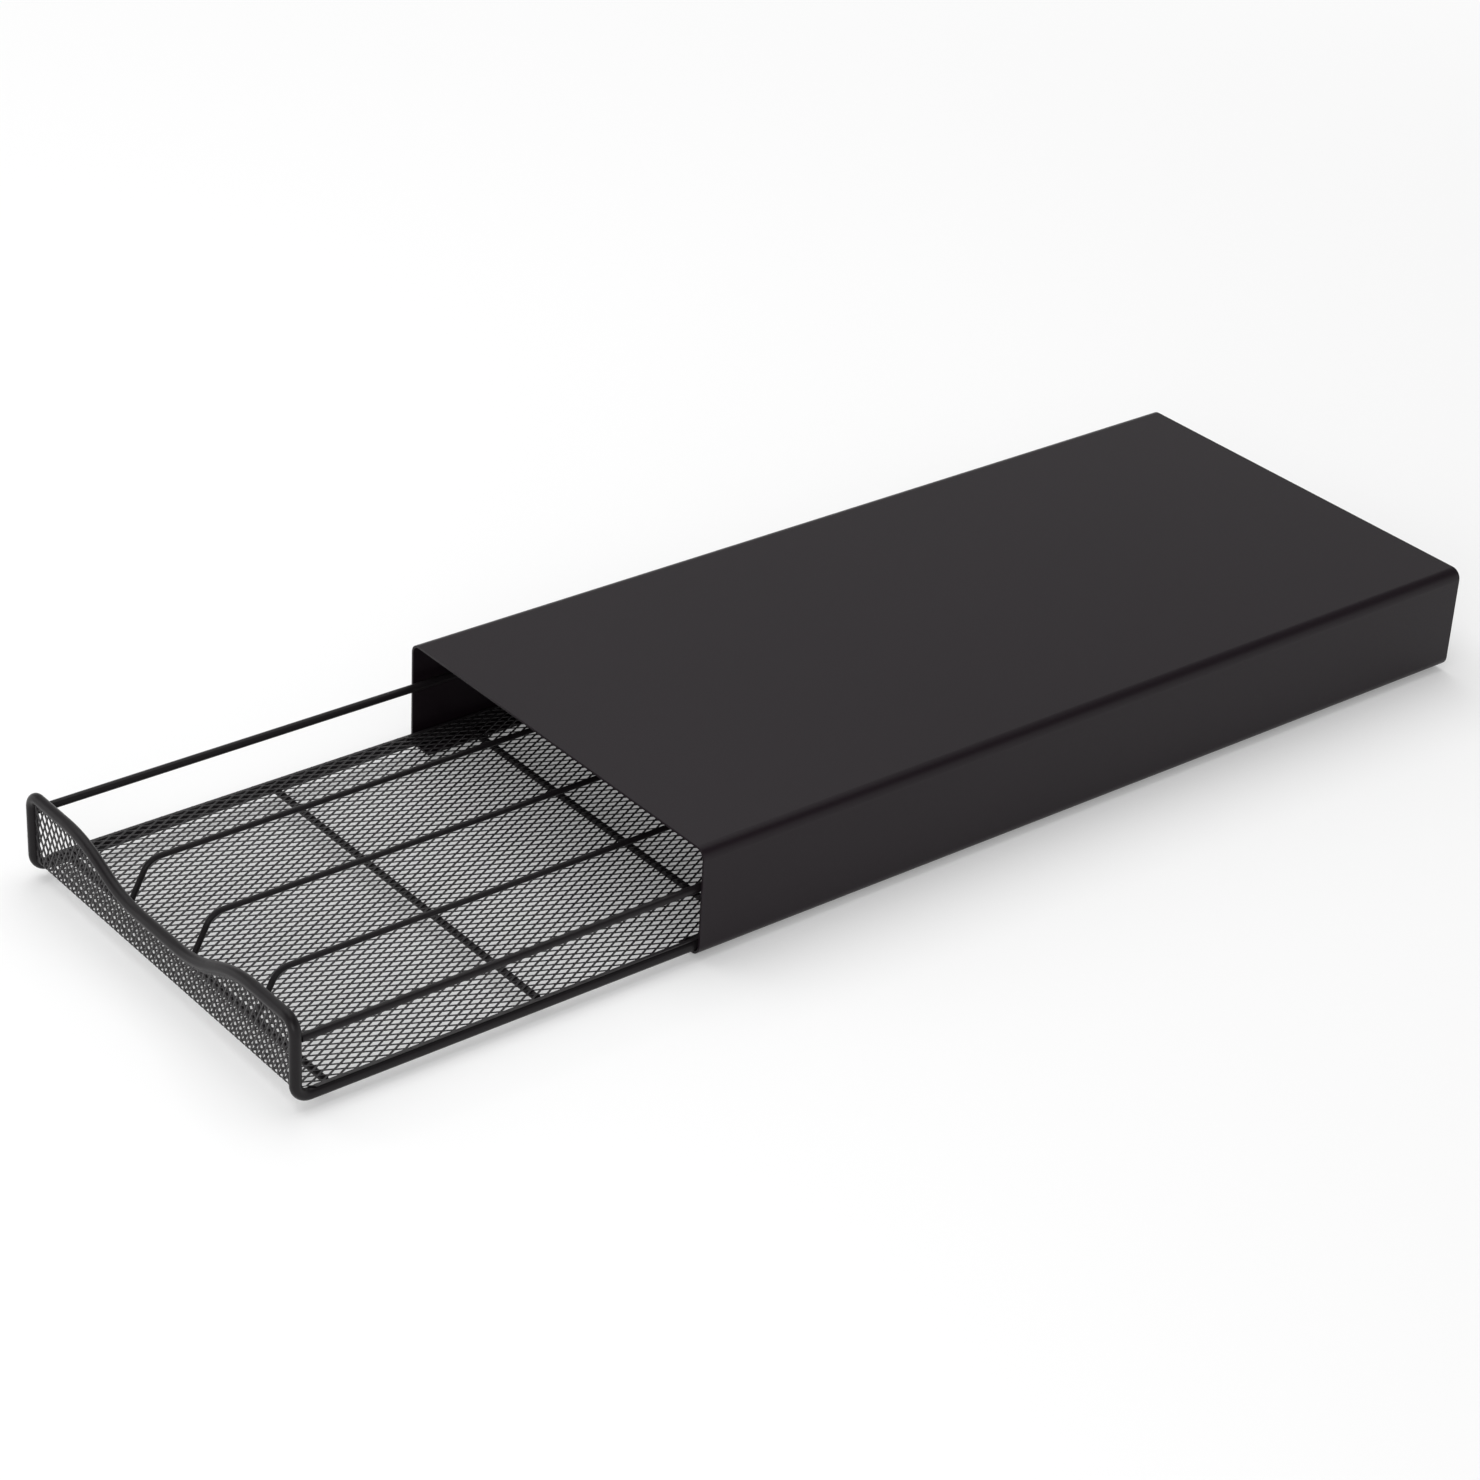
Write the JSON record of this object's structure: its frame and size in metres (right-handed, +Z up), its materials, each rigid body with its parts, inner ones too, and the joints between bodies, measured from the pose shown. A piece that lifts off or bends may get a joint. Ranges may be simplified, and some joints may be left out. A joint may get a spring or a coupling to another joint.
{
  "type": "coffee pod drawer",
  "caption": "Low sheet-steel cover with a sliding wire-and-mesh drawer for coffee pods, kept under a coffee machine.",
  "frame": {"origin": "on the table, under the middle of the box round the whole, drawer pulled out", "axes": "+Z up, -Y towards the front, where the drawer pulls out, +X to the right seen from the front"},
  "size_m": [0.2, 0.6154, 0.051],
  "materials": {
    "cover_black": "matte black powder coat",
    "wire_black": "satin black powder coat",
    "mesh_black": "satin black powder coat",
    "foot_rubber": "matte black rubber"
  },
  "bodies": {
    "cover": {"cover_shell": "cover_black", "stop_bar": "cover_black", "left_catch": "cover_black", "right_catch": "cover_black", "front_left_foot": "foot_rubber", "front_right_foot": "foot_rubber", "rear_left_foot": "foot_rubber", "rear_right_foot": "foot_rubber"},
    "drawer": {"front_hoop": "wire_black", "back_hoop": "wire_black", "left_side_rail": "wire_black", "right_side_rail": "wire_black", "mesh_liner": "mesh_black", "row_divider_1": "wire_black", "row_divider_2": "wire_black", "row_divider_3": "wire_black", "floor_wire_1": "wire_black", "floor_wire_2": "wire_black", "floor_wire_3": "wire_black", "floor_wire_4": "wire_black", "floor_wire_5": "wire_black"}
  },
  "joints": [
    {"name": "drawer_slide", "type": "slide", "parent": "cover", "child": "drawer", "axis": [0, -1, 0], "range_m": [-0.1854, 0.181]}
  ]
}
